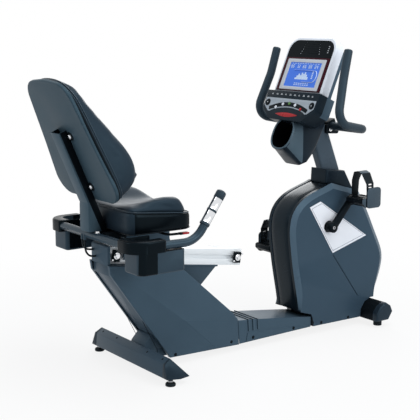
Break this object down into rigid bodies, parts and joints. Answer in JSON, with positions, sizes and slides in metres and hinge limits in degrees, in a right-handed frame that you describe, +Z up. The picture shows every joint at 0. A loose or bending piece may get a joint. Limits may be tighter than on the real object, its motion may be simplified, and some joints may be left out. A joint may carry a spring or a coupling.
{
  "type": "recumbent exercise bike",
  "caption": "Recumbent exercise bike with a sliding padded seat on an inclined rail, belt-driven flywheel in a shroud, console mast and two sets of handlebars.",
  "frame": {"origin": "on the floor, under the middle of the bike's bounding box", "axes": "+X forward from the seat towards the console, +Y to the rider's left, +Z up"},
  "size_m": [1.748, 0.701, 1.35],
  "materials": {
    "frame_paint": "satin powder coat, dark slate",
    "panel_plastic": "fine-textured moulded plastic, dark slate",
    "shroud_plastic": "semi-gloss painted moulding, dark slate",
    "band_plastic": "satin moulded plastic",
    "pale_plastic": "pale silver-white gloss moulding",
    "silver_plastic": "silver painted panel",
    "black_plastic": "black moulded plastic",
    "lens": "smoked glossy lens",
    "lcd": "backlit blue display",
    "key_red": "red rubbery key caps",
    "rail_aluminium": "satin anodised extrusion",
    "steel": "machined steel",
    "crank_paint": "black painted forging",
    "cast": "turned cast iron",
    "pulley_alloy": "machined alloy",
    "rubber_black": "moulded rubber",
    "grip_rubber": "foam-rubber sleeve with chrome contact plates",
    "vinyl": "padded dark vinyl over foam",
    "pan_gloss": "glossy black moulding",
    "shell_plastic": "textured moulded plastic",
    "cable_black": "black PVC cable",
    "bracket_paint": "light grey painted steel"
  },
  "bodies": {
    "frame": {"base_beam": "frame_paint", "rear_post": "frame_paint", "post_panels": "panel_plastic", "beam_cover": "panel_plastic", "rear_stabiliser": "frame_paint", "end_caps": "panel_plastic", "front_stabiliser": "black_plastic", "front_feet": "rubber_black", "seat_rail": "rail_aluminium", "rail_end_stops": "black_plastic", "rail_rear_cover": "black_plastic", "shroud_left": "shroud_plastic", "shroud_right": "shroud_plastic", "shroud_band": "band_plastic", "crank_trims": "pale_plastic", "mast_collar": "black_plastic", "mast": "frame_paint", "bottle_holder": "black_plastic", "console_back": "black_plastic", "console_bezel": "pale_plastic", "console_fascia": "lens", "display": "lcd", "keypad_panel": "silver_plastic", "front_handlebar": "frame_paint", "bar_clamp": "black_plastic", "crank_bearings": "steel", "drive_belt": "rubber_black", "brake_magnet": "steel", "sensor_cable_upper": "cable_black", "sensor_cable_lower": "cable_black"},
    "crank": {"crank_axle": "steel", "drive_pulley": "pulley_alloy", "crank_left": "crank_paint", "crank_right": "crank_paint"},
    "pedal_left": {"pedal_left": "black_plastic", "pedal_strap_left": "rubber_black"},
    "pedal_right": {"pedal_right": "black_plastic", "pedal_strap_right": "rubber_black"},
    "flywheel": {"flywheel": "cast"},
    "seat": {"seat_carriage": "frame_paint", "seat_handlebar": "frame_paint", "pulse_grips": "grip_rubber", "side_pockets": "black_plastic", "seat_pan": "pan_gloss", "seat_cushion": "vinyl", "backrest_bracket": "bracket_paint", "back_shell": "shell_plastic", "back_cushion": "vinyl"},
    "roller_front": {"rollers_front": "steel"},
    "roller_rear": {"rollers_rear": "steel"},
    "seat_lever": {"adjust_lever": "key_red"},
    "foot_left": {"rear_foot_left": "rubber_black"},
    "foot_right": {"rear_foot_right": "rubber_black"},
    "key_level_down": {"key_level_down": "key_red"},
    "key_1": {"key_1": "key_red"},
    "key_2": {"key_2": "key_red"},
    "key_3": {"key_3": "key_red"},
    "key_4": {"key_4": "key_red"},
    "key_5": {"key_5": "key_red"},
    "key_level_up": {"key_level_up": "key_red"}
  },
  "joints": [
    {"name": "seat_slide", "type": "slide", "parent": "frame", "child": "seat", "axis": [0.99, 0, -0.1409], "range_m": [0, 0.32], "deforming": ["sensor_cable_upper", "sensor_cable_lower"]},
    {"name": "roller_front_spin", "type": "hinge", "parent": "seat", "child": "roller_front", "pos_m": [-0.37321, 0, 0.51991], "axis": [0, 1, 0], "range_deg": [-10, 1160]},
    {"name": "roller_rear_spin", "type": "hinge", "parent": "seat", "child": "roller_rear", "pos_m": [-0.51973, 0, 0.54076], "axis": [0, 1, 0], "range_deg": [-10, 1160]},
    {"name": "crank_spin", "type": "hinge", "parent": "frame", "child": "crank", "pos_m": [0.512, 0, 0.499], "axis": [0, 1, 0], "continuous": true},
    {"name": "pedal_left_spin", "type": "hinge", "parent": "crank", "child": "pedal_left", "pos_m": [0.39825, 0.19, 0.37267], "axis": [0, 1, 0], "continuous": true},
    {"name": "pedal_right_spin", "type": "hinge", "parent": "crank", "child": "pedal_right", "pos_m": [0.62575, -0.19, 0.62533], "axis": [0, 1, 0], "continuous": true},
    {"name": "flywheel_spin", "type": "hinge", "parent": "frame", "child": "flywheel", "pos_m": [0.668, 0, 0.262], "axis": [0, 1, 0], "continuous": true},
    {"name": "lever_press", "type": "hinge", "parent": "seat", "child": "seat_lever", "pos_m": [-0.44, -0.092, 0.592], "axis": [0, 1, 0], "range_deg": [0, 12], "stiffness_Nm_per_rad": 1, "springref_deg": -14.32},
    {"name": "foot_left_turn", "type": "hinge", "parent": "frame", "child": "foot_left", "pos_m": [-0.488, 0.28, 0.02], "axis": [0, 0, 1], "continuous": true},
    {"name": "foot_right_turn", "type": "hinge", "parent": "frame", "child": "foot_right", "pos_m": [-0.488, -0.28, 0.02], "axis": [0, 0, 1], "continuous": true},
    {"name": "key_level_down_press", "type": "slide", "parent": "frame", "child": "key_level_down", "axis": [0.9164, 0, -0.4003], "range_m": [0, 0.002], "stiffness_N_per_m": 400, "springref_m": -0.001},
    {"name": "key_1_press", "type": "slide", "parent": "frame", "child": "key_1", "axis": [0.9164, 0, -0.4003], "range_m": [0, 0.002], "stiffness_N_per_m": 400, "springref_m": -0.001},
    {"name": "key_2_press", "type": "slide", "parent": "frame", "child": "key_2", "axis": [0.9164, 0, -0.4003], "range_m": [0, 0.002], "stiffness_N_per_m": 400, "springref_m": -0.001},
    {"name": "key_3_press", "type": "slide", "parent": "frame", "child": "key_3", "axis": [0.9164, 0, -0.4003], "range_m": [0, 0.002], "stiffness_N_per_m": 400, "springref_m": -0.001},
    {"name": "key_4_press", "type": "slide", "parent": "frame", "child": "key_4", "axis": [0.9164, 0, -0.4003], "range_m": [0, 0.002], "stiffness_N_per_m": 400, "springref_m": -0.001},
    {"name": "key_5_press", "type": "slide", "parent": "frame", "child": "key_5", "axis": [0.9164, 0, -0.4003], "range_m": [0, 0.002], "stiffness_N_per_m": 400, "springref_m": -0.001},
    {"name": "key_level_up_press", "type": "slide", "parent": "frame", "child": "key_level_up", "axis": [0.9164, 0, -0.4003], "range_m": [0, 0.002], "stiffness_N_per_m": 400, "springref_m": -0.001}
  ],
  "couplings": [
    {"joint": "roller_front_spin", "follows": "seat_slide", "rad_per_m": 62.5},
    {"joint": "roller_rear_spin", "follows": "seat_slide", "rad_per_m": 62.5},
    {"joint": "flywheel_spin", "follows": "crank_spin", "ratio": 5.4546}
  ]
}
